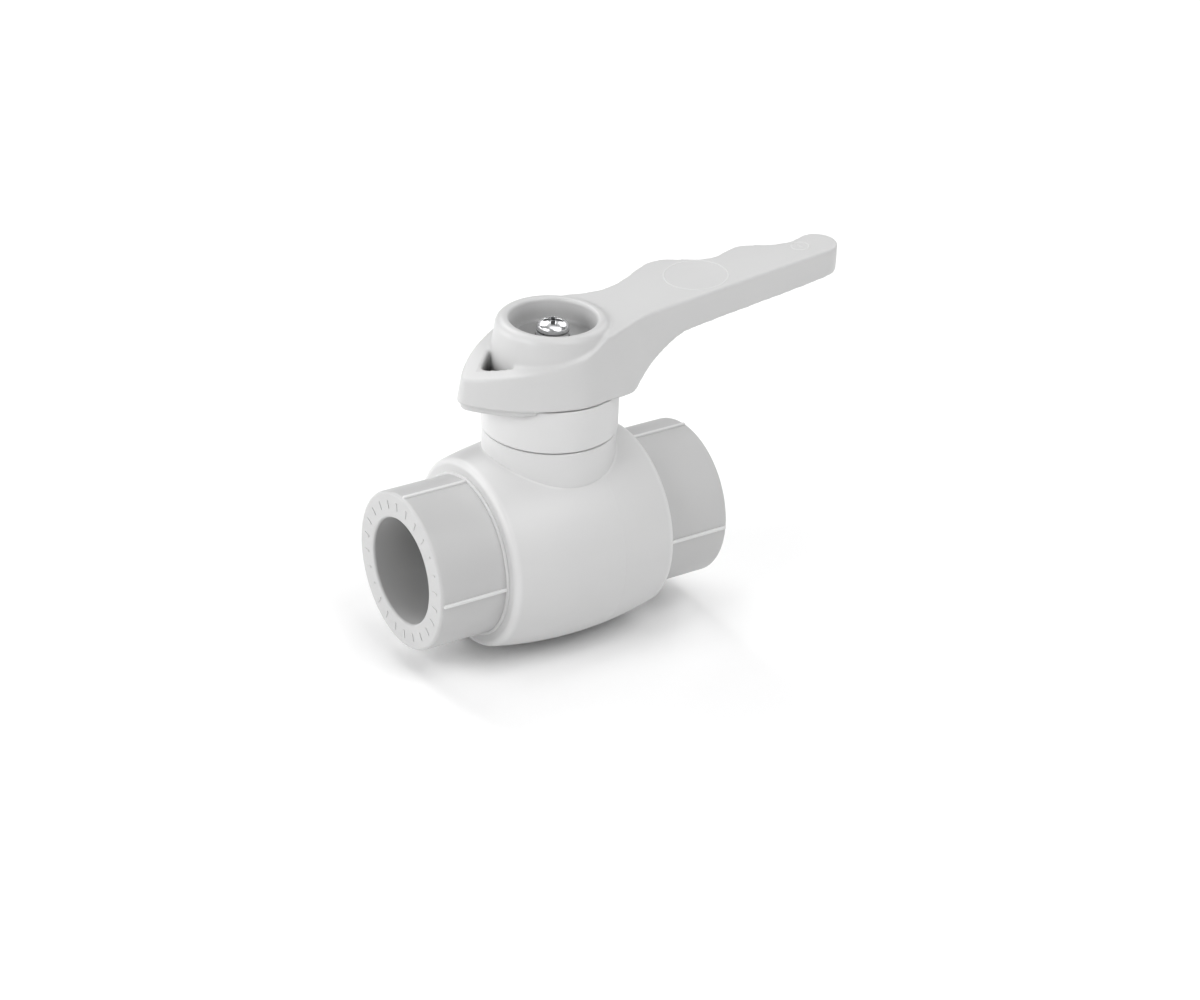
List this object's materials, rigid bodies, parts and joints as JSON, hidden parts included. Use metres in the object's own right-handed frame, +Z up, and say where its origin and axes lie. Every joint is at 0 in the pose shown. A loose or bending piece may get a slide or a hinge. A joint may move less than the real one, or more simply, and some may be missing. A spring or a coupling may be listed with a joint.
{
  "type": "in-line ball valve",
  "caption": "In-line quarter-turn ball valve with plain fusion sockets, a bulging plastic barrel, a round neck and a lever handle held by a screw.",
  "frame": {"origin": "centre of the ball, where the pipe axis crosses the stem axis", "axes": "+X along the pipe towards the outlet socket and the lever's tip when open, +Z up the stem"},
  "size_m": [0.1463, 0.0614, 0.1046],
  "materials": {
    "barrel_plastic": "satin moulded",
    "socket_plastic": "satin moulded",
    "cap_plastic": "satin moulded",
    "handle_plastic": "satin moulded",
    "core_brass": "machined",
    "stem_brass": "turned",
    "ball_chrome": "polished",
    "screw_steel": "bright zinc plated",
    "seat_ptfe": "smooth",
    "ring_rubber": "moulded"
  },
  "bodies": {
    "body": {"barrel_shell": "barrel_plastic", "inlet_socket": "socket_plastic", "outlet_socket": "socket_plastic", "core_housing": "core_brass", "inlet_carrier": "core_brass", "outlet_carrier": "core_brass", "inlet_seat": "seat_ptfe", "outlet_seat": "seat_ptfe", "inlet_seat_ring": "ring_rubber", "outlet_seat_ring": "ring_rubber", "inlet_joint_ring": "ring_rubber", "outlet_joint_ring": "ring_rubber", "thrust_washer": "seat_ptfe", "packing_ring": "seat_ptfe", "gland_nut": "core_brass", "neck_cap": "cap_plastic"},
    "handle": {"stem": "stem_brass", "lower_stem_ring": "ring_rubber", "upper_stem_ring": "ring_rubber", "handle": "handle_plastic", "flat_washer": "screw_steel", "spring_washer": "screw_steel", "handle_screw": "screw_steel"},
    "ball": {"ball": "ball_chrome"}
  },
  "joints": [
    {"name": "handle_turn", "type": "hinge", "parent": "body", "child": "handle", "pos_m": [0, 0, 0.049], "axis": [0, 0, -1], "range_deg": [0, 90]},
    {"name": "ball_turn", "type": "hinge", "parent": "body", "child": "ball", "pos_m": [0, 0, 0], "axis": [0, 0, -1], "range_deg": [0, 90]}
  ],
  "couplings": [
    {"joint": "ball_turn", "follows": "handle_turn", "ratio": 1}
  ]
}
